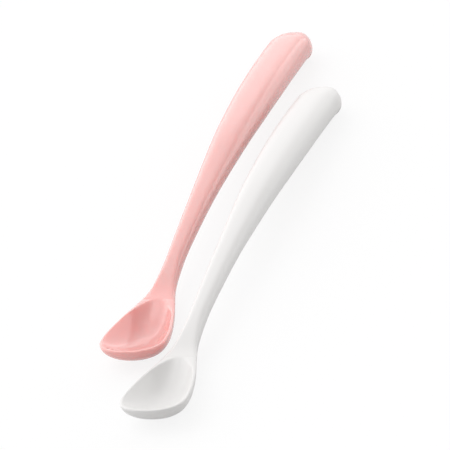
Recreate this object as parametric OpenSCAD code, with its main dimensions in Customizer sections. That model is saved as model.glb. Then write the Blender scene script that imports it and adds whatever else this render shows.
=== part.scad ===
// A set of two long-handled feeding spoons for a baby, lying nearly parallel on a table.
// Each spoon is moulded in two shots: a stiff core runs through the stem and handle,
// and an outer moulding of bowl, stem and handle is shot round it.
// X runs along the pink spoon from its bowl to its handle end, and Z is up from the table.
// The origin is on the table, at the middle of the pair.

/* [Spoon] */
// Overall length of one spoon
spoon_len = 160; // [145:1:180]
// Distance along the table from the white spoon's tip back to the pink spoon's tip
pair_step = 28.3; // [0:0.1:60]
// Gap sideways between the pink bowl, at its widest place, and the white spoon
pair_gap = 2.3; // [1.8:0.1:30]
// How much further the white spoon's handle end lies from the pink spoon's middle line than its tip
pair_spread = 2.4; // [0:0.1:4]

/* [Bowl] */
// Length from the tip to where the neck starts
bowl_len = 30; // [27:0.5:36]
// Distance from there forward to the back edge of the hollow
hollow_back = 1.8; // [1:0.1:4]
// Width across the rim at its widest
bowl_w = 17.5; // [15:0.1:22]
// Distance from the tip to the widest place
tip_r = 7.4; // [6:0.1:10]
// Height of the rim above the table at the tip
rim_tip_h = 7.6; // [7:0.1:10]
// Height of the rim above the table where the neck starts
rim_back_h = 5.9; // [5.4:0.1:8]
// Width of the rim round the hollow
rim_w = 0.6; // [0.5:0.1:1.2]
// Thickness of the bowl's floor
floor_t = 2; // [1.5:0.1:2.8]
// Height of the rounded lip
lip_h = 0.5; // [0.4:0.1:1]

/* [Stem and handle] */
// Width of the stem at its narrowest
stem_w = 4.9; // [4.4:0.1:7]
// Thickness of the stem
stem_t = 3.8; // [3.4:0.1:5]
// Distance from where the neck starts to the narrowest place of the stem
neck_len = 15; // [10:0.5:24]
// Width of the handle at its widest
handle_w = 11.7; // [10:0.1:16]
// Thickness of the handle at its thickest
handle_t = 7.6; // [6:0.1:8]
// Distance from the widest place of the handle to its end
end_len = 16; // [12:0.5:24]
// Length of the rounded end
end_r = 8; // [6:0.1:9]
// Height of the top of the handle at its crest
crest_h = 12.8; // [11.6:0.1:18]
// Height of the top of the handle where the end starts to round off
tail_h = 9; // [8.6:0.1:11]

/* [Foot] */
// Length of the flat foot
foot_len = 1.6; // [1:0.1:3]
// Length of the slope at the front of the foot
foot_slope = 0.7; // [0.4:0.1:1.5]
// How far the foot's curve is pressed flat by the table
foot_flat = 0.5; // [0.3:0.1:0.8]

/* [Core] */
// Thickness of the outer moulding round the core
skin_t = 1; // [0.6:0.1:1.2]
// Gap kept between the core and the outer moulding
core_gap = 0.05; // [0.02:0.01:0.1]
// Distance from where the neck starts to the front of the core
core_start = 5; // [3:0.5:10]
// Length of the core's rounded front
core_nose = 2; // [1:0.5:3]

/* [Hidden] */
stem_x = bowl_len + neck_len;
wide_x = spoon_len - end_len;
tail_x = spoon_len - end_r;
hollow_len = bowl_len - hollow_back;
core_x = bowl_len + core_start;
half_bowl = bowl_w / 2;
half_stem = stem_w / 2;
half_handle = handle_w / 2;

// Depth by which the table presses the bowl's underside flat
belly_flat = 0.25;
// Length over which the lip of the bowl runs out into the stem, in front of the neck
neck_blend = 4;
// Length over which the hollow's back edge rounds in, seen from above
hollow_back_r = 9;
// Height of the middle of the rounded end, and the flat left on it round the core's tail
end_mid_h = 4.5;
end_land = 0.6;
// Rounding under the handle's end, and where the slope of the foot and the end's sections start
foot_r = 2.5;
foot_x = spoon_len - foot_r - foot_len - foot_slope;
end_x = min(tail_x, foot_x - foot_slope);

// Points round each section, and sections along each stretch
ring_steps = 40;
nose_steps = 11;
back_steps = 11;
neck_steps = 5;
handle_steps = 12;
foot_steps = 2;
end_steps = 7;
core_nose_steps = 3;
core_steps = 9;
core_end_steps = 4;

// Side of the bowl behind its widest place: share of the bowl's length, share of the narrowing
bowl_side_shares = [[0.67, 0.69], [0.88, 0.41]];
// Side of the neck: share of the neck's length, share of the narrowing
neck_side_shares = [[0.35, 0.075]];
// Growth from stem to handle: share of the distance, share of the growth
growth_shares = [[0.16, 0.11], [0.29, 0.245], [0.43, 0.465], [0.57, 0.69], [0.72, 0.87], [0.87, 0.98]];
// The crest's place on the way from the bowl to the end
crest_share = 0.55;
// Top line from the bowl to the crest: share of the distance, share of the rise
rise_shares = [[0.12, 0.24], [0.23, 0.44], [0.37, 0.61], [0.54, 0.77], [0.74, 0.905]];
// Top line from the crest to the rounded end and on along it: share of the distance, share of the fall
fall_shares = [[0.28, 0.1], [0.59, 0.36], [0.86, 0.75], [1, 1], [1.17, 1.34]];
// The bowl's deepest place, as a share of its length
deep_share = 0.5;
// Depth from the deepest place to the stem: share of the distance, share of the change
belly_shares = [[0.09, 0.06], [0.22, 0.4], [0.34, 0.72], [0.47, 0.92], [0.6, 0.985]];

// Fullness of the rounded outlines: 2 is an ellipse, and more is squarer
tip_fullness = 2.4;
end_fullness = 2;
end_top_fullness = 2.5;
hollow_fullness = 2.8;
hollow_side_fullness = 2.7;
top_fullness = 3.2;
rim_fullness = 10;
under_fullness = 2.1;
// How gently the hollow's floor comes up to its back: 1 is a plain arc, and more is gentler
hollow_back_ease = 1.3;

function smooth(s) = s <= 0 ? 0 : s >= 1 ? 1 : s * s * (3 - 2 * s);
function interval(t, x, i = 0) = i >= len(t) - 2 || x < t[i + 1][0] ? i : interval(t, x, i + 1);
function chord(t, i) = (t[i + 1][1] - t[i][1]) / (t[i + 1][0] - t[i][0]);
// Slope at a point of a table, flat where the table turns, so that a curve never overshoots
function slope(t, i) =
    i == 0 || i == len(t) - 1 ? 0
    : chord(t, i - 1) * chord(t, i) <= 0 ? 0
    : 2 / (1 / chord(t, i - 1) + 1 / chord(t, i));
function hermite(a, b, ma, mb, s) =
    a * (1 + 2 * s) * (1 - s) * (1 - s) + b * s * s * (3 - 2 * s)
    + ma * s * (1 - s) * (1 - s) - mb * s * s * (1 - s);
function curve(t, x) =
    x <= t[0][0] ? t[0][1]
    : x >= t[len(t) - 1][0] ? t[len(t) - 1][1]
    : let (i = interval(t, x), h = t[i + 1][0] - t[i][0])
      hermite(t[i][1], t[i + 1][1], slope(t, i) * h, slope(t, i + 1) * h, (x - t[i][0]) / h);
// Rounded end of an outline: 0 at its tip, and 1 from the distance r on
function cap(x, r, n) = x <= 0 ? 0 : x >= r ? 1 : pow(1 - pow((r - x) / r, n), 1 / n);
function between(shares, x0, x1, v0, v1) =
    [for (p = shares) [x0 + p[0] * (x1 - x0), v0 + p[1] * (v1 - v0)]];

// Tables along the spoon: distance from the tip, and half width, top height or thickness there
deep_x = deep_share * bowl_len;
crest_x = bowl_len + crest_share * (spoon_len - bowl_len);
width_table = concat(
    [[tip_r, half_bowl]],
    between(bowl_side_shares, 0, bowl_len, half_stem, half_bowl),
    between(neck_side_shares, bowl_len, stem_x, half_stem, half_bowl),
    [[stem_x, half_stem]],
    between(growth_shares, stem_x, wide_x, half_stem, half_handle),
    [[wide_x, half_handle]]
);
top_table = concat(
    [[0, rim_tip_h], [bowl_len, rim_back_h]],
    between(rise_shares, bowl_len, crest_x, rim_back_h, crest_h),
    [[crest_x, crest_h]],
    between(fall_shares, crest_x, tail_x, crest_h, tail_h)
);
belly_d = curve(top_table, deep_x) + belly_flat;
hollow_d = curve(top_table, deep_x) - floor_t;
depth_table = concat(
    [[deep_x, belly_d]],
    between(belly_shares, deep_x, stem_x, belly_d, stem_t),
    [[stem_x, stem_t]],
    between(growth_shares, stem_x, wide_x, stem_t, handle_t),
    [[wide_x, handle_t]]
);

// Rounding of the handle's end over the length r: seen from above, along its top or along its foot
function end_cap(x, r, n) = cap(spoon_len - x + end_land, r + end_land, n);
function half_width(x) =
    curve(width_table, x) * cap(x, tip_r, tip_fullness) * end_cap(x, end_r, end_fullness);
// 0 on the bowl, rising to 1 on the stem
function stem_part(x) = smooth((x - bowl_len + neck_blend) / (stem_x - bowl_len + neck_blend));
// Height from the side edge up to the top: the lip on the bowl, half the thickness on the handle
function crown(x) =
    let (s = stem_part(x)) (1 - s) * lip_h * cap(x, lip_h, 2) + s * curve(depth_table, x) / 2;
function belly(x) =
    let (s = stem_part(x), d = curve(depth_table, x))
    (d - (1 - s) * lip_h - s * d / 2) * cap(x, deep_x, 2);
function edge_h(x) = curve(top_table, x) - (1 - stem_part(x)) * lip_h - stem_part(x) * curve(depth_table, x) / 2;
function foot_drop(x) =
    smooth((x - foot_x) / foot_slope) * max(0, edge_h(x) - belly(x) + foot_flat);
// Draws a height on the rounded end in towards the end's middle: more sharply below than on top
function drawn_in(z, x) =
    end_mid_h + (z - end_mid_h)
    * (z < end_mid_h ? end_cap(x, foot_r, end_fullness) : end_cap(x, end_r, end_top_fullness));

// The hollow of the bowl: its half width, and its depth below the rim
function hollow_half(x) =
    (curve(width_table, x) - rim_w)
    * cap(x - rim_w, tip_r - rim_w, tip_fullness) * cap(hollow_len - x, hollow_back_r, 2);
function hollow_line(x) =
    x <= rim_w || x >= hollow_len ? 0
    : x < deep_x ? 1 - pow((deep_x - x) / (deep_x - rim_w), hollow_fullness)
    : pow(1 - pow((x - deep_x) / (hollow_len - deep_x), 2), hollow_back_ease);
function hollow(x, y) =
    hollow_half(x) <= abs(y) ? 0
    : hollow_d * hollow_line(x) * (1 - pow(abs(y) / hollow_half(x), hollow_side_fullness));

// Heights of the outer moulding's top and underside, at the distance x from the tip
// and at the share u of the half width
function top_at(x, u) =
    let (k = rim_fullness + (top_fullness - rim_fullness) * stem_part(x))
    drawn_in(edge_h(x) + crown(x) * sqrt(1 - pow(abs(u), k)) - hollow(x, u * half_width(x)), x);
function under_at(x, u) =
    let (z = edge_h(x) - (belly(x) + foot_drop(x)) * sqrt(1 - pow(abs(u), under_fullness)))
    x > tail_x ? drawn_in(max(0, z), x) : max(0, z);

// A ring of points round the outer moulding, from one side over the top to the other and back below
function outer_ring(x) = [
    for (i = [0:ring_steps - 1])
        let (a = 360 * i / ring_steps, u = cos(a))
        [x, half_width(x) * u, a < 180 ? top_at(x, u) : under_at(x, u)]
];
// A ring of points round the core's space, in by the gap g
function core_ring(x, g) =
    let (
        z1 = top_at(x, 0) - skin_t - g,
        z0 = drawn_in(edge_h(x) - belly(x), x) + skin_t + g,
        c = cap(x - core_x - g, core_nose, 2),
        w = half_width(x) - skin_t - g
    )
    [for (i = [0:ring_steps - 1])
        let (a = 360 * i / ring_steps)
        [x, c * w * cos(a), (z0 + z1) / 2 + c * (z1 - z0) / 2 * sin(a)]];

// Distances from the tip of the outer moulding's sections and of the core's
body_x = concat(
    [for (i = [1:nose_steps]) tip_r * (1 - cos(90 * i / nose_steps))],
    [for (i = [1:back_steps]) tip_r + (hollow_len - tip_r) * sin(90 * i / back_steps)],
    [for (i = [0:neck_steps]) bowl_len + neck_len * i / neck_steps],
    [for (i = [1:handle_steps]) stem_x + (end_x - stem_x) * i / handle_steps],
    [for (i = [1:foot_steps]) end_x + (foot_x - end_x) * i / foot_steps],
    [foot_x + foot_slope / 2],
    [for (i = [0:end_steps]) foot_x + foot_slope + (foot_len + foot_r) * sin(90 * i / end_steps)]
);
function core_stations(g) =
    let (x0 = core_x + g, x1 = core_x + g + core_nose)
    concat(
        [for (i = [1:core_nose_steps]) x0 + core_nose * (1 - cos(90 * i / core_nose_steps))],
        [for (i = [1:core_steps]) x1 + (tail_x - x1) * i / core_steps],
        [for (i = [1:core_end_steps]) tail_x + (end_r - g) * sin(90 * i / core_end_steps)]
    );
function reversed(v) = [for (i = [len(v) - 1:-1:0]) v[i]];
function middle(ring) = let (n = len(ring)) (ring[0] + ring[n / 4] + ring[n / 2] + ring[3 * n / 4]) / 4;

// A closed skin through rings of points, drawn in to the points first and last at its two ends
module loft(rings, first, last) {
    n = len(rings);
    m = len(rings[0]);
    sides = [
        for (r = [0:n - 2]) for (i = [0:m - 1])
            let (j = (i + 1) % m, a = r * m, b = (r + 1) * m)
            each [[a + i, b + i, b + j], [a + i, b + j, a + j]]
    ];
    ends = [
        for (i = [0:m - 1])
            let (j = (i + 1) % m)
            each [[n * m, i, j], [n * m + 1, (n - 1) * m + j, (n - 1) * m + i]]
    ];
    polyhedron(concat([for (ring = rings) each ring], [first, last]), concat(sides, ends), convexity = 6);
}

// Outer moulding: bowl, stem and handle, with the core's space open at the handle's end
module outer_moulding() {
    space = [for (x = reversed(core_stations(0))) core_ring(x, 0)];
    loft(
        concat([for (x = body_x) outer_ring(x)], space),
        [0, 0, edge_h(0)],
        middle(core_ring(core_x, 0))
    );
}

// Stiff core from behind the bowl to the handle's end, where its tail shows
module stiff_core() {
    rings = [for (x = core_stations(core_gap)) core_ring(x, core_gap)];
    loft(rings, middle(core_ring(core_x + core_gap, core_gap)), middle(rings[len(rings) - 1]));
}

// Turn of the white spoon, and the distance from its tip to the pink spoon's middle line,
// which keeps the pink bowl and both handles clear of it
white_turn = asin(pair_spread / spoon_len);
function line_drift(x) = x * sin(white_turn);
pair_pitch = pair_gap + max(
    half_bowl + half_width(pair_step + tip_r) - line_drift(pair_step + tip_r),
    half_width(wide_x - pair_step) + half_handle - line_drift(wide_x)
);

module at_pink_spoon() {
    translate([(pair_step - spoon_len) / 2, pair_pitch / 2, 0]) children();
}

module at_white_spoon() {
    translate([-(pair_step + spoon_len) / 2, -pair_pitch / 2, 0])
        rotate([0, 0, -white_turn])
            children();
}

module pink_spoon_body() {
    color("#f2b7b4") at_pink_spoon() outer_moulding();
}

module pink_spoon_core() {
    color("#e9dcd6") at_pink_spoon() stiff_core();
}

module white_spoon_body() {
    color("#e6e5e3") at_white_spoon() outer_moulding();
}

module white_spoon_core() {
    color("#dcdcd8") at_white_spoon() stiff_core();
}

pink_spoon_body();
pink_spoon_core();
white_spoon_body();
white_spoon_core();
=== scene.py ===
import bpy
import numpy as np
from mathutils import Matrix, Vector


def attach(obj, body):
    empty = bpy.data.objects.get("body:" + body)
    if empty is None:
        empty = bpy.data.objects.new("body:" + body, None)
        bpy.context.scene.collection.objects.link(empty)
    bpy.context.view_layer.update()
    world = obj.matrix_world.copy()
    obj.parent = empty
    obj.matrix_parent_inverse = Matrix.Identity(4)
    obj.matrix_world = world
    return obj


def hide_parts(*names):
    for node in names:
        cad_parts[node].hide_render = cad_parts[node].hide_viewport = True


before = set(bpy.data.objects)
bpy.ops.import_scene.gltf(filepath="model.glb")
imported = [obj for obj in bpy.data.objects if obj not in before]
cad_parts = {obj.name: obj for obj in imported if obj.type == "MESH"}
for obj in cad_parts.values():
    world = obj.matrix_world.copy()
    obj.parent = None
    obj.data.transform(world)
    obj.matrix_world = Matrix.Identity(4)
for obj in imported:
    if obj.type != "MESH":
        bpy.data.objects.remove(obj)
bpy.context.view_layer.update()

# Pink spoon, outer moulding.
# Bowl, rim, stem, handle and turned-down foot in one piece of polypropylene, injection moulded
# round the stiff core in a polished tool, so it comes out with a clear gloss.

MM = 0.001

# Sizes of one spoon in mm, as in the part. X runs along it from the tip, Y across it and Z up
SPOON_LEN = 160
BOWL_LEN = 30
BOWL_W = 17.5
TIP_R = 7.4
RIM_TIP_H = 7.6
RIM_BACK_H = 5.9
RIM_W = 0.6
FLOOR_T = 2
LIP_H = 0.5
STEM_W = 4.9
STEM_T = 3.8
NECK_LEN = 15
HANDLE_W = 11.7
HANDLE_T = 7.6
END_LEN = 16
END_R = 8
CREST_H = 12.8
TAIL_H = 9
FOOT_LEN = 1.6
FOOT_SLOPE = 0.7
FOOT_FLAT = 0.5
BELLY_FLAT = 0.25
NECK_BLEND = 4
HOLLOW_LEN = 28.2
HOLLOW_BACK_R = 9
END_MID_H = 4.5
END_LAND = 0.6
FOOT_R = 2.5
SKIN_T = 1
CORE_START = 5
CORE_NOSE = 2

# Fullness of the rounded outlines: 2 is an ellipse, and more is squarer
TIP_FULLNESS = 2.4
END_FULLNESS = 2
END_TOP_FULLNESS = 2.5
HOLLOW_FULLNESS = 2.8
HOLLOW_SIDE_FULLNESS = 2.7
TOP_FULLNESS = 3.2
RIM_FULLNESS = 10
UNDER_FULLNESS = 2.1
# How gently the hollow's floor comes up to its back: 1 is a plain arc
HOLLOW_BACK_EASE = 1.3
CREST_SHARE = 0.55

STEM_X = BOWL_LEN + NECK_LEN
WIDE_X = SPOON_LEN - END_LEN
TAIL_X = SPOON_LEN - END_R
FOOT_X = SPOON_LEN - FOOT_R - FOOT_LEN - FOOT_SLOPE
CORE_X = BOWL_LEN + CORE_START
DEEP_X = BOWL_LEN / 2
CREST_X = BOWL_LEN + CREST_SHARE * (SPOON_LEN - BOWL_LEN)

# How far the polishing of the tool softens the outline's changes of curve, and the hollow's edge
FAIRING = 2.2
FAIRING_STEPS = 17
EDGE_ROUND = 0.25


def shares(rows, x0, x1, v0, v1):
    """Points between two others, given as shares of the way and of the change."""
    return [(x0 + a * (x1 - x0), v0 + b * (v1 - v0)) for a, b in rows]


def ease(s):
    """A smooth step from 0 to 1."""
    s = np.clip(s, 0, 1)
    return s * s * (3 - 2 * s)


def curve(points):
    """A smooth curve through the points that never overshoots, faired over a few millimetres."""
    px, pv = np.array(points, float).T
    chord = np.diff(pv) / np.diff(px)
    tangent = np.zeros(len(px))
    for i in range(1, len(px) - 1):
        if chord[i - 1] * chord[i] > 0:
            tangent[i] = 2 / (1 / chord[i - 1] + 1 / chord[i])

    def at(x):
        x = np.clip(x, px[0], px[-1])
        i = np.clip(np.searchsorted(px, x, side="right") - 1, 0, len(px) - 2)
        h = px[i + 1] - px[i]
        s = (x - px[i]) / h
        return (pv[i] + (pv[i + 1] - pv[i]) * ease(s)
                + tangent[i] * h * s * (1 - s) ** 2 - tangent[i + 1] * h * s * s * (1 - s))

    offsets = np.linspace(-2, 2, FAIRING_STEPS)
    weights = np.exp(-offsets ** 2)
    weights /= weights.sum()
    return lambda x: sum(w * at(x + d * FAIRING) for d, w in zip(offsets, weights))


def cap(x, r, fullness):
    """Rounded end of an outline: 0 at its tip and 1 from r on. A fullness of 2 is an ellipse."""
    q = np.clip((r - x) / r, 0, 1)
    return np.where(x <= 0, 0, (1 - q ** fullness) ** (1 / fullness))


GROWTH = [(0.16, 0.11), (0.29, 0.245), (0.43, 0.465), (0.57, 0.69), (0.72, 0.87), (0.87, 0.98)]
width_line = curve(
    [(TIP_R, BOWL_W / 2)]
    + shares([(0.67, 0.69), (0.88, 0.41)], 0, BOWL_LEN, STEM_W / 2, BOWL_W / 2)
    + shares([(0.35, 0.075)], BOWL_LEN, STEM_X, STEM_W / 2, BOWL_W / 2)
    + [(STEM_X, STEM_W / 2)]
    + shares(GROWTH, STEM_X, WIDE_X, STEM_W / 2, HANDLE_W / 2)
    + [(WIDE_X, HANDLE_W / 2)])
top_line = curve(
    [(0, RIM_TIP_H), (BOWL_LEN, RIM_BACK_H)]
    + shares([(0.12, 0.24), (0.23, 0.44), (0.37, 0.61), (0.54, 0.77), (0.74, 0.905)],
             BOWL_LEN, CREST_X, RIM_BACK_H, CREST_H)
    + [(CREST_X, CREST_H)]
    + shares([(0.28, 0.1), (0.59, 0.36), (0.86, 0.75), (1, 1), (1.17, 1.34)],
             CREST_X, TAIL_X, CREST_H, TAIL_H))
BELLY_D = float(top_line(DEEP_X)) + BELLY_FLAT
HOLLOW_D = float(top_line(DEEP_X)) - FLOOR_T
depth_line = curve(
    [(DEEP_X, BELLY_D)]
    + shares([(0.09, 0.06), (0.22, 0.4), (0.34, 0.72), (0.47, 0.92), (0.6, 0.985)],
             DEEP_X, STEM_X, BELLY_D, STEM_T)
    + [(STEM_X, STEM_T)]
    + shares(GROWTH, STEM_X, WIDE_X, STEM_T, HANDLE_T)
    + [(WIDE_X, HANDLE_T)])


def end_cap(x, r, fullness=END_FULLNESS):
    return cap(SPOON_LEN - x + END_LAND, r + END_LAND, fullness)


def half_width(x):
    return width_line(x) * cap(x, TIP_R, TIP_FULLNESS) * end_cap(x, END_R)


def stem_part(x):
    """0 along the bowl, 1 along the stem and handle, and a smooth step through the neck."""
    return ease((x - BOWL_LEN + NECK_BLEND) / (NECK_LEN + NECK_BLEND))


def edge_h(x):
    """Height of the widest line, where the top meets the underside."""
    s = stem_part(x)
    return top_line(x) - (1 - s) * LIP_H - s * depth_line(x) / 2


def crown(x):
    """How far the top rises over the widest line."""
    s = stem_part(x)
    return (1 - s) * LIP_H * cap(x, LIP_H, 2) + s * depth_line(x) / 2


def belly(x):
    """How far the underside hangs below the widest line."""
    s, d = stem_part(x), depth_line(x)
    return (d - (1 - s) * LIP_H - s * d / 2) * cap(x, DEEP_X, 2)


def drawn_in(z, x):
    """A height drawn in towards the middle of the handle's end, more sharply below than on top."""
    round_off = np.where(z < END_MID_H, end_cap(x, FOOT_R), end_cap(x, END_R, END_TOP_FULLNESS))
    return END_MID_H + (z - END_MID_H) * round_off


def hollow(x, y):
    """Depth of the bowl's hollow below the rim, with its edge rounded over."""
    half = (width_line(x) - RIM_W) * cap(x - RIM_W, TIP_R - RIM_W, TIP_FULLNESS)
    half = half * cap(HOLLOW_LEN - x, HOLLOW_BACK_R, 2)
    front = 1 - np.clip((DEEP_X - x) / (DEEP_X - RIM_W), 0, 1.5) ** HOLLOW_FULLNESS
    back = 1 - np.clip((x - DEEP_X) / (HOLLOW_LEN - DEEP_X), 0, 2) ** 2
    back = np.where(back > 0, np.abs(back) ** HOLLOW_BACK_EASE, back)
    side = 1 - np.clip(np.abs(y) / np.maximum(half, 0.01), 0, 1.5) ** HOLLOW_SIDE_FULLNESS
    depth = HOLLOW_D * np.where(x < DEEP_X, front, back)
    depth = np.where(depth > 0, depth * side, depth)
    return (depth + np.sqrt(depth ** 2 + EDGE_ROUND ** 2)) / 2


def top_at(x, u):
    """Height of the top at the share u of the half width."""
    fullness = RIM_FULLNESS + (TOP_FULLNESS - RIM_FULLNESS) * stem_part(x)
    dome = np.sqrt(np.clip(1 - np.abs(u) ** fullness, 0, 1))
    return drawn_in(edge_h(x) + crown(x) * dome - hollow(x, u * half_width(x)), x)


def under_at(x, u):
    """Height of the underside there, with the foot turned down at the handle's end."""
    foot = ease((x - FOOT_X) / FOOT_SLOPE) * np.maximum(0, edge_h(x) - belly(x) + FOOT_FLAT)
    dome = np.sqrt(np.clip(1 - np.abs(u) ** UNDER_FULLNESS, 0, 1))
    z = np.maximum(0, edge_h(x) - (belly(x) + foot) * dome)
    return np.where(x > TAIL_X, drawn_in(z, x), z)


def stretch(x0, x1, steps, start=False, end=False):
    """Places from x0 to x1, closer together towards a start or an end that rounds off."""
    s = np.arange(1, steps + 1) / steps
    if start:
        s = 1 - np.cos(s * np.pi / 2)
    if end:
        s = np.sin(s * np.pi / 2)
    return x0 + (x1 - x0) * s


RING_STEPS = 192
angle = np.arange(RING_STEPS) * 2 * np.pi / RING_STEPS


def outer_rings():
    """Rings of points round the outer moulding, from its tip to the handle's end."""
    x = np.concatenate([
        stretch(0, TIP_R, 44, start=True),
        stretch(TIP_R, BOWL_LEN, 56, end=True),
        stretch(BOWL_LEN, TAIL_X, 130),
        stretch(TAIL_X, FOOT_X, 10),
        stretch(FOOT_X, FOOT_X + FOOT_SLOPE, 10),
        stretch(FOOT_X + FOOT_SLOPE, SPOON_LEN, 32, end=True)])[:, None]
    u = np.cos(angle)[None]
    z = np.where(angle < np.pi, top_at(x, u), under_at(x, u))
    return np.stack([x + 0 * u, half_width(x) * u, z], -1)


def core_rings(gap):
    """Rings round the core's space, or round the core itself with a gap to that space."""
    start = CORE_X + gap
    x = np.concatenate([
        stretch(start, start + CORE_NOSE, 8, start=True),
        stretch(start + CORE_NOSE, TAIL_X, 40),
        stretch(TAIL_X, SPOON_LEN - gap, 20, end=True)])[:, None]
    inset = SKIN_T + gap
    z1 = top_at(x, 0) - inset
    z0 = drawn_in(edge_h(x) - belly(x), x) + inset
    c = cap(x - start, CORE_NOSE, 2)
    y = c * (half_width(x) - inset) * np.cos(angle)
    z = (z0 + z1) / 2 + c * (z1 - z0) / 2 * np.sin(angle)
    return np.stack([x + 0 * y, y, z], -1)


def loft(name, rings, first, last, sharp=40):
    """A closed mesh through rings of points, in metres, drawn in to a point at each end."""
    n, m = rings.shape[:2]
    points = np.concatenate([rings.reshape(-1, 3), [first, last]]) * MM
    a = np.arange(n * m).reshape(n, m)
    b = np.roll(a, -1, 1)
    quads = np.stack([a[:-1], a[1:], b[1:], b[:-1]], -1).reshape(-1, 4).tolist()
    caps = [(n * m, a[0, i], b[0, i]) for i in range(m)]
    caps += [(n * m + 1, b[-1, i], a[-1, i]) for i in range(m)]
    mesh = bpy.data.meshes.new(name)
    mesh.from_pydata(points.tolist(), [], quads + [tuple(map(int, c)) for c in caps])
    mesh.polygons.foreach_set("use_smooth", [True] * len(mesh.polygons))
    mesh.set_sharp_from_angle(angle=np.radians(sharp))
    piece = bpy.data.objects.new(name, mesh)
    bpy.context.scene.collection.objects.link(piece)
    return piece


def outer_moulding(name):
    """One spoon's moulding, with the core's space open at the handle's end."""
    space = core_rings(0)[::-1]
    return loft(name, np.concatenate([outer_rings(), space]),
                (0, 0, float(edge_h(0))), space[-1].mean(0))


def add(tree, kind, settings=None, links=None):
    """Adds a node with its properties and input values, and links its inputs."""
    node = tree.nodes.new(kind)
    for key, value in (settings or {}).items():
        if isinstance(key, int) or key in node.inputs:
            node.inputs[key].default_value = value
        else:
            setattr(node, key, value)
    for key, source in (links or {}).items():
        tree.links.new(source, node.inputs[key])
    return node


def hex_rgb(code):
    """An sRGB hex colour as the linear colour that a shader takes."""
    srgb = [int(code[i:i + 2], 16) / 255 for i in (0, 2, 4)]
    return [c / 12.92 if c <= 0.04045 else ((c + 0.055) / 1.055) ** 2.4 for c in srgb] + [1]


def new_material(name, settings):
    """A material with values set on its shader's own sockets."""
    material = bpy.data.materials.new(name)
    material.use_nodes = True
    tree = material.node_tree
    shader = tree.nodes["Principled BSDF"]
    for key, value in settings.items():
        shader.inputs[key].default_value = value
    return material, tree, shader


# Spacing in mm of the pigment's streaks and of the skin's duller and shinier patches, and
# heights in mm of its ripples and grain
STREAK_MM = 9
STREAK_DRAW = 0.25
SHEEN_MM = 14
RIPPLE_HIGH = 0.02
GRAIN_HIGH = 0.01


def moulded_plastic(name, pale, deep, rough, settings,
                    ripple_mm, ripple_share, grain_mm, grain_share):
    """Moulded plastic: unevenly mixed pigment, a skin that ripples a little and a fine grain."""
    material, tree, shader = new_material(name, settings)
    place = add(tree, "ShaderNodeTexCoord").outputs["Object"]
    # Melt flows along the spoon, so the pigment's streaks are drawn out along it
    flow = add(tree, "ShaderNodeMapping", {"Scale": (STREAK_DRAW, 1, 1)}, {"Vector": place})
    streak = add(tree, "ShaderNodeTexNoise", {"Scale": 1 / (STREAK_MM * MM), "Detail": 3},
                 {"Vector": flow.outputs["Vector"]})
    tint = add(tree, "ShaderNodeMix", {"data_type": "RGBA", 6: hex_rgb(pale), 7: hex_rgb(deep)},
               {0: streak.outputs["Fac"]})
    tree.links.new(tint.outputs[2], shader.inputs["Base Color"])
    sheen = add(tree, "ShaderNodeTexNoise", {"Scale": 1 / (SHEEN_MM * MM), "Detail": 4},
                {"Vector": place})
    spread = add(tree, "ShaderNodeMapRange", {"To Min": rough[0], "To Max": rough[1]},
                 {"Value": sheen.outputs["Fac"]})
    tree.links.new(spread.outputs["Result"], shader.inputs["Roughness"])
    ripple = add(tree, "ShaderNodeTexNoise", {"Scale": 1 / (ripple_mm * MM), "Detail": 1},
                 {"Vector": place})
    bump = add(tree, "ShaderNodeBump", {"Strength": ripple_share, "Distance": RIPPLE_HIGH * MM},
               {"Height": ripple.outputs["Fac"]})
    # The tool's real grain is finer than a pixel, so it is drawn as coarse as it needs to show
    grain = add(tree, "ShaderNodeTexNoise", {"Scale": 1 / (grain_mm * MM), "Detail": 2},
                {"Vector": place})
    fine = add(tree, "ShaderNodeBump", {"Strength": grain_share, "Distance": GRAIN_HIGH * MM},
               {"Height": grain.outputs["Fac"], "Normal": bump.outputs["Normal"]})
    tree.links.new(fine.outputs["Normal"], shader.inputs["Normal"])
    return material


# Polypropylene from a polished tool: a clear gloss over a warm, slightly milky pink
pink_gloss = moulded_plastic(
    "pink_polypropylene_polished", "EFB2AD", "EDAEA9", (0.12, 0.16),
    {"IOR": 1.49, "Specular IOR Level": 0.8, "Subsurface Weight": 0.5,
     "Subsurface Radius": (1, 0.5, 0.45), "Subsurface Scale": 2.5 * MM},
    ripple_mm=5, ripple_share=0.1, grain_mm=0.6, grain_share=0.02)

# The pair's places, as in the part: the white spoon's tip is ahead and it turns a little outwards
PAIR_STEP = 28.3
PAIR_PITCH = 13.401
PAIR_SPREAD = 2.4


def lay(piece, x, y, turn, node, body, slot):
    """Lays a piece of a spoon in its place and on its body."""
    piece.data.transform(
        Matrix.Translation((x * MM, y * MM, 0)) @ Matrix.Rotation(turn, 4, "Z"))
    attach(piece, body)
    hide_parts(node)


pink_place = ((PAIR_STEP - SPOON_LEN) / 2, PAIR_PITCH / 2, 0)
pink_moulding = outer_moulding("pink_outer_moulding")
pink_moulding.data.materials.append(pink_gloss)
lay(pink_moulding, *pink_place, "pink_spoon_body", "pink_spoon", "pink_gloss_plastic")

# White spoon, outer moulding.
# The same shape in white polypropylene, injection moulded round its core in a tool with a fine
# satin finish, which spreads the reflections into soft gradients.

white_satin = moulded_plastic(
    "white_polypropylene_satin", "E1E0DE", "DFDEDC", (0.36, 0.44),
    {"IOR": 1.49, "Specular IOR Level": 0.8},
    ripple_mm=6, ripple_share=0.1, grain_mm=0.4, grain_share=0.1)
white_place = (-(PAIR_STEP + SPOON_LEN) / 2, -PAIR_PITCH / 2,
               -np.arcsin(PAIR_SPREAD / SPOON_LEN))
white_moulding = outer_moulding("white_outer_moulding")
white_moulding.data.materials.append(white_satin)
lay(white_moulding, *white_place, "white_spoon_body", "white_spoon", "white_soft_plastic")

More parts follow.
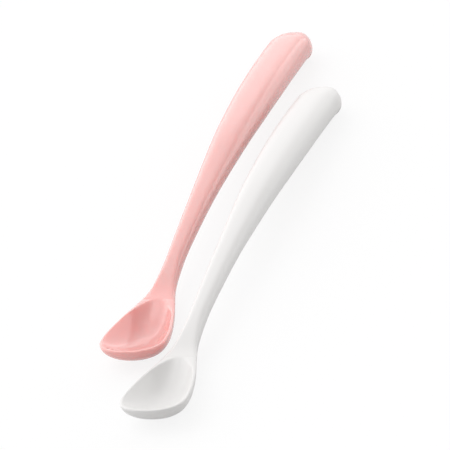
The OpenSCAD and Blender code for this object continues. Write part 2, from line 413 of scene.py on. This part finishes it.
# Cores.
# A stiff bar of natural nylon through each stem and handle, moulded first and held by its tail,
# which shows as a small oval on the handle's end face.

CORE_GAP = 0.05
# Natural nylon from a plain tool: an uncoloured, slightly yellow white with a dull sheen
core_nylon = moulded_plastic(
    "natural_nylon_moulded", "E3DCD2", "DDD5CA", (0.35, 0.5),
    {"IOR": 1.53},
    ripple_mm=2, ripple_share=0.2, grain_mm=0.3, grain_share=0.1)
for side, place in (("pink", pink_place), ("white", white_place)):
    rings = core_rings(CORE_GAP)
    core = loft(side + "_core", rings, rings[0].mean(0), rings[-1].mean(0))
    core.data.materials.append(core_nylon)
    lay(core, *place, side + "_spoon_core", side + "_spoon", "core_plastic")

# Table.
# A plain matt white sheet that the spoons lie on, running far out past the picture. It looks
# white to the camera and in reflections, keeps a share of the shadows and throws little light up.

TABLE_SIZE = 6
SHADOW_SHARE = 0.15
MIRRORED_GLOW = 0.5
bpy.ops.mesh.primitive_plane_add(size=TABLE_SIZE)
table = bpy.context.object
table.name = "table"
paper, tree, shader = new_material(
    "white_sheet_matt", {"Roughness": 0.9, "IOR": 1.45, "Specular IOR Level": 0})
ray = add(tree, "ShaderNodeLightPath")
seen = add(tree, "ShaderNodeMath", {"operation": "MAXIMUM"},
           {0: ray.outputs["Is Camera Ray"], 1: ray.outputs["Is Glossy Ray"]})
seen = add(tree, "ShaderNodeMath", {"operation": "MAXIMUM"},
           {0: seen.outputs["Value"], 1: ray.outputs["Is Transmission Ray"]})
tone = add(tree, "ShaderNodeMix",
           {"data_type": "RGBA", 6: hex_rgb("D8D8D8"), 7: hex_rgb("F7F7F7")},
           {0: seen.outputs["Value"]})
tree.links.new(tone.outputs[2], shader.inputs["Base Color"])
share = add(tree, "ShaderNodeMapRange", {"To Min": 0, "To Max": 1 - SHADOW_SHARE},
            {"Value": ray.outputs["Is Camera Ray"]})
mirrored = add(tree, "ShaderNodeMath", {"operation": "MULTIPLY", 1: MIRRORED_GLOW},
               {0: seen.outputs["Value"]})
share = add(tree, "ShaderNodeMath", {"operation": "MAXIMUM"},
            {0: share.outputs["Result"], 1: mirrored.outputs["Value"]})
white = add(tree, "ShaderNodeEmission", {"Color": (1, 1, 1, 1), "Strength": 1})
mix = add(tree, "ShaderNodeMixShader", {},
          {0: share.outputs["Value"], 1: shader.outputs["BSDF"], 2: white.outputs["Emission"]})
tree.links.new(mix.outputs["Shader"], tree.nodes["Material Output"].inputs["Surface"])
table.data.materials.append(paper)

# Camera.
# The photograph looks down at the pair from the bowls' end, from far away with a long lens,
# so the two spoons show hardly any perspective.

PICTURE_PIXELS = 450
SENSOR_MM = 36
CAM_FAR = 4.0
CAM_YAW, CAM_DROP, CAM_ROLL = np.radians((68.278, 28.876, 12.11))
PIXELS_PER_MM = 3.943
AIM_X, AIM_Y = 73.76, -3.85
across = Vector((np.cos(CAM_YAW), -np.sin(CAM_YAW), 0))
ahead = Vector((np.sin(CAM_YAW), np.cos(CAM_YAW), 0))
up = Vector((0, 0, 1))
look = ahead * np.cos(CAM_DROP) - up * np.sin(CAM_DROP)
lift = ahead * np.sin(CAM_DROP) + up * np.cos(CAM_DROP)
right = across * np.cos(CAM_ROLL) - lift * np.sin(CAM_ROLL)
top = across * np.sin(CAM_ROLL) + lift * np.cos(CAM_ROLL)
aim = Vector(((pink_place[0] + AIM_X) * MM, (pink_place[1] + AIM_Y) * MM, 0))
camera = bpy.data.objects.new("camera", bpy.data.cameras.new("camera"))
bpy.context.scene.collection.objects.link(camera)
camera.matrix_world = (Matrix.Translation(aim - look * CAM_FAR)
                       @ Matrix((right, top, -look)).transposed().to_4x4())
camera.data.sensor_width = SENSOR_MM
camera.data.lens = PIXELS_PER_MM * CAM_FAR / MM / PICTURE_PIXELS * SENSOR_MM
bpy.context.scene.camera = camera

# Lights.
# Four soft boxes stand round the pair, and a white room is brightest at the back and on the left.
# The soft step between its bright and its dim side draws the long reflections in both bowls.


def soft_box(name, side, back, height, size, power):
    """A lamp of a width and a height, placed by metres to the picture's right, away and up."""
    lamp = bpy.data.lights.new(name, "AREA")
    lamp.shape = "RECTANGLE"
    lamp.size, lamp.size_y = size
    lamp.energy = power
    box = bpy.data.objects.new(name, lamp)
    spot = across * side + ahead * back + up * height
    box.location = spot
    box.rotation_euler = spot.to_track_quat("Z", "Y").to_euler()
    bpy.context.scene.collection.objects.link(box)


soft_box("key_box", -0.5, 0, 1.15, (0.8, 0.8), 1.8)
soft_box("side_box", 1.11, 0.59, 0.26, (1.8, 0.9), 6.2)
soft_box("rear_box", -0.25, 1.4, 0.35, (3, 0.9), 3.2)
soft_box("fill_box", 0.35, -0.85, 0.9, (1, 0.8), 1.2)

ROOM_DIM = 0.5
ROOM_BRIGHT = 1.6
# Where the step from dim to bright starts: -1 is opposite the bright side, and 1 is at it
STEP_START = -0.1
BRIGHT_LEFT, BRIGHT_AHEAD, BRIGHT_UP = 0.7, 0.65, 0.3
world = bpy.data.worlds.new("white_room")
bpy.context.scene.world = world
world.use_nodes = True
tree = world.node_tree
bright_side = (across * -BRIGHT_LEFT + ahead * BRIGHT_AHEAD + up * BRIGHT_UP).normalized()
room = add(tree, "ShaderNodeTexCoord")
facing = add(tree, "ShaderNodeVectorMath", {"operation": "DOT_PRODUCT", 1: bright_side},
             {0: room.outputs["Generated"]})
shade = add(tree, "ShaderNodeMapRange",
            {"interpolation_type": "SMOOTHSTEP", "From Min": STEP_START, "From Max": 1,
             "To Min": ROOM_DIM, "To Max": ROOM_BRIGHT},
            {"Value": facing.outputs["Value"]})
background = tree.nodes["Background"]
background.inputs["Color"].default_value = hex_rgb("FFFEFF")
tree.links.new(shade.outputs["Result"], background.inputs["Strength"])

bpy.context.scene.view_settings.view_transform = "Standard"
